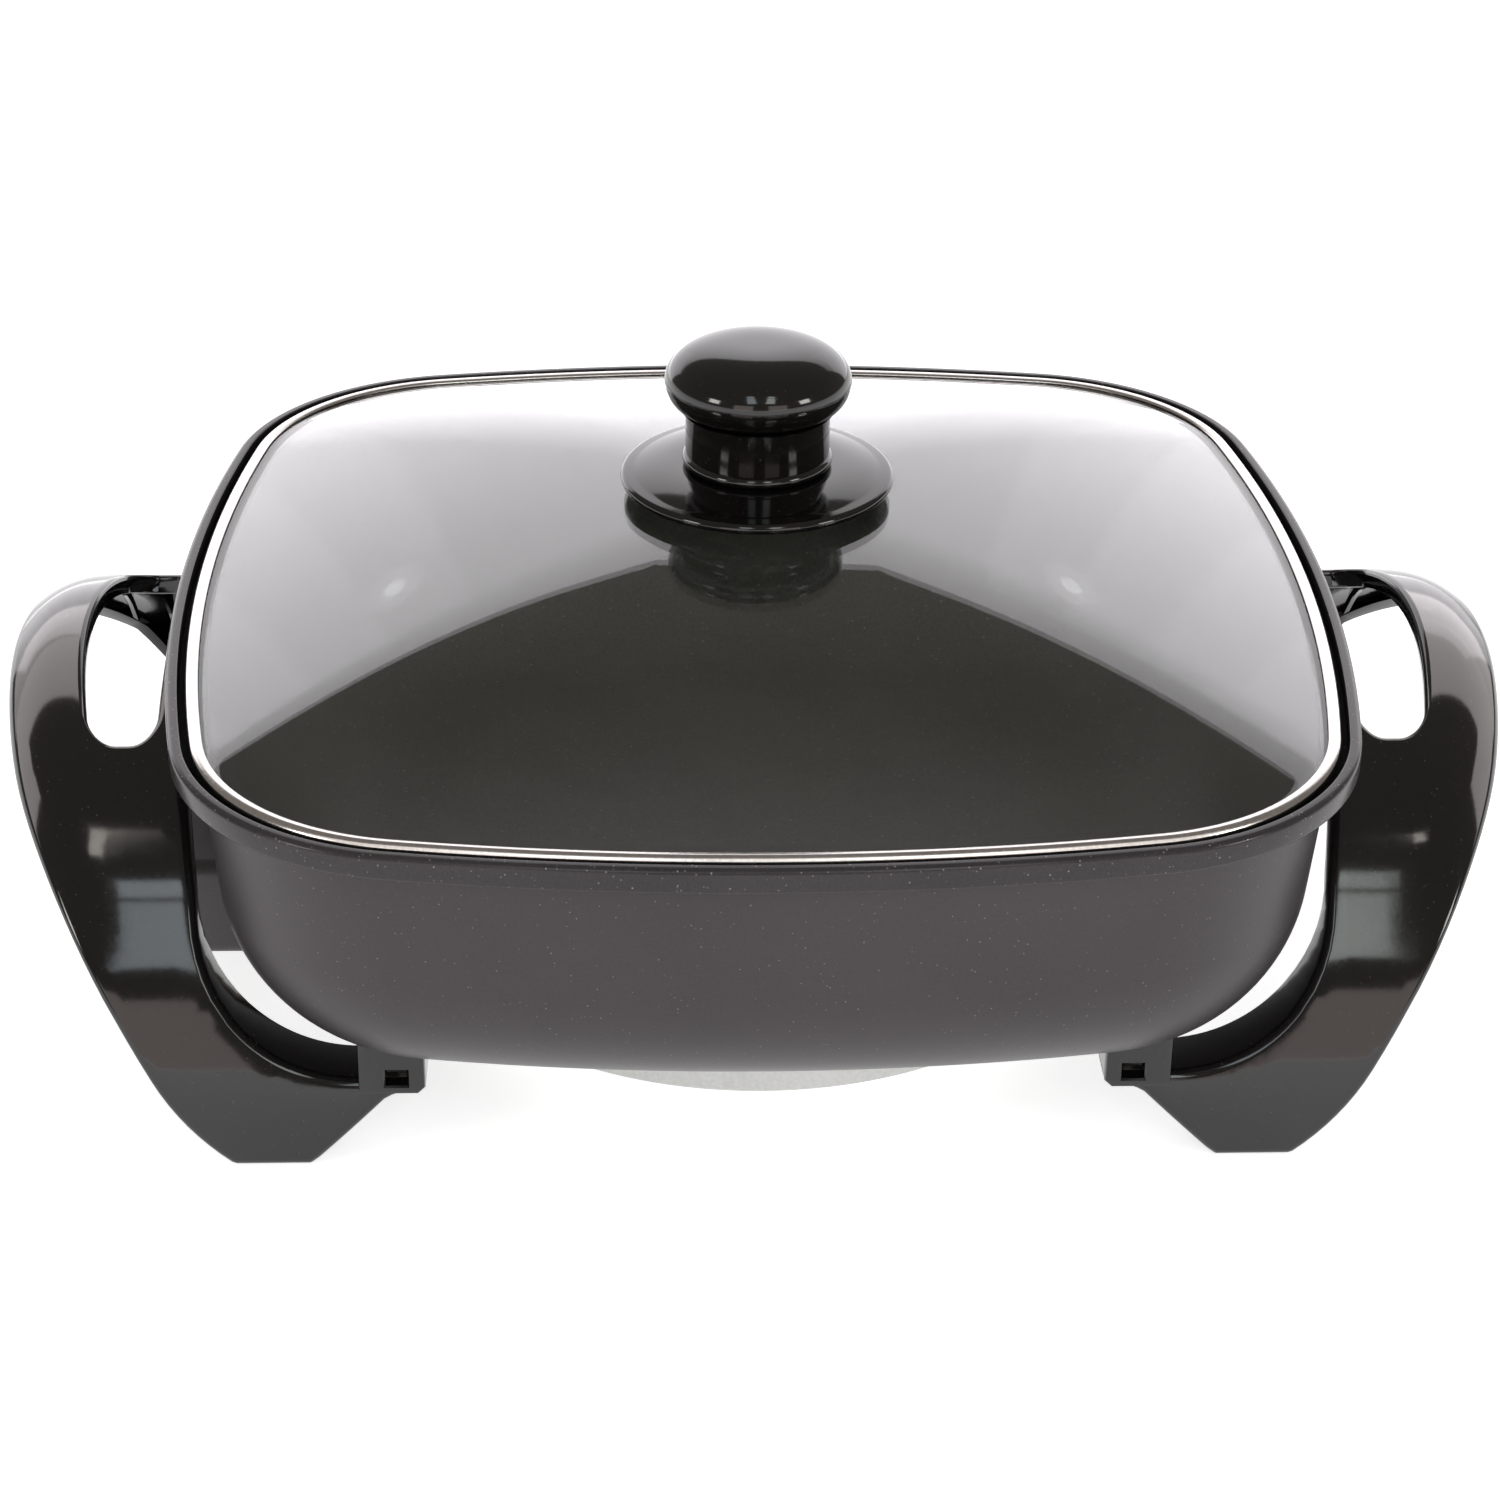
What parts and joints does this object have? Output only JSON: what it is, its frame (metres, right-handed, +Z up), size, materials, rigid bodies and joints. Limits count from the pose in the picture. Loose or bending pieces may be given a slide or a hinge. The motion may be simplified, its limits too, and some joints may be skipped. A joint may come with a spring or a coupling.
{
  "type": "electric skillet",
  "caption": "Electric skillet: deep rounded-square pan on looped handle-and-leg mouldings, with an inlet for a detachable heat control and a domed glass lid that lifts off.",
  "frame": {"origin": "on the worktop, under the middle of the pan", "axes": "+Z up; the two side mouldings lie towards -X and +X, and the inlet for the heat control is towards -X; -Y is the front"},
  "size_m": [0.414, 0.322, 0.1899],
  "materials": {
    "coated_aluminium": "die-cast, coated dark warm grey, satin",
    "element_sheath": "dull oxidised sheath",
    "sheet_aluminium": "pressed bright sheet",
    "zinc_steel": "zinc plated",
    "nickel_steel": "nickel plated",
    "steatite": "unglazed, off-white",
    "guard_phenolic": "moulded, satin black",
    "black_phenolic": "moulded, high gloss black",
    "clear_glass": "toughened, clear with a faint green tint",
    "stainless_steel": "polished, rolled",
    "silicone": "matt, dark grey",
    "brass": "turned"
  },
  "bodies": {
    "skillet": {"pan": "coated_aluminium", "heating_element": "element_sheath", "reflector": "sheet_aluminium", "reflector_screws": "zinc_steel", "reflector_washers": "zinc_steel", "terminal_plate": "zinc_steel", "terminal_pin_front": "nickel_steel", "terminal_pin_rear": "nickel_steel", "terminal_bush_front": "steatite", "terminal_bush_rear": "steatite", "sensor_tube": "nickel_steel", "inlet_guard": "guard_phenolic", "guard_screws": "zinc_steel", "side_moulding_left": "black_phenolic", "side_moulding_right": "black_phenolic", "tab_screws_left": "zinc_steel", "tab_screws_right": "zinc_steel", "tab_washers_left": "zinc_steel", "tab_washers_right": "zinc_steel"},
    "lid": {"lid_glass": "clear_glass", "lid_ring": "stainless_steel", "knob_seal": "silicone", "knob_skirt": "black_phenolic", "knob": "black_phenolic", "knob_insert": "brass", "glass_washer": "silicone", "screw_washer": "zinc_steel", "knob_screw": "zinc_steel"}
  },
  "joints": [
    {"name": "lid_lift", "type": "slide", "parent": "skillet", "child": "lid", "axis": [0, 0, 1], "range_m": [0, 0.1]}
  ]
}
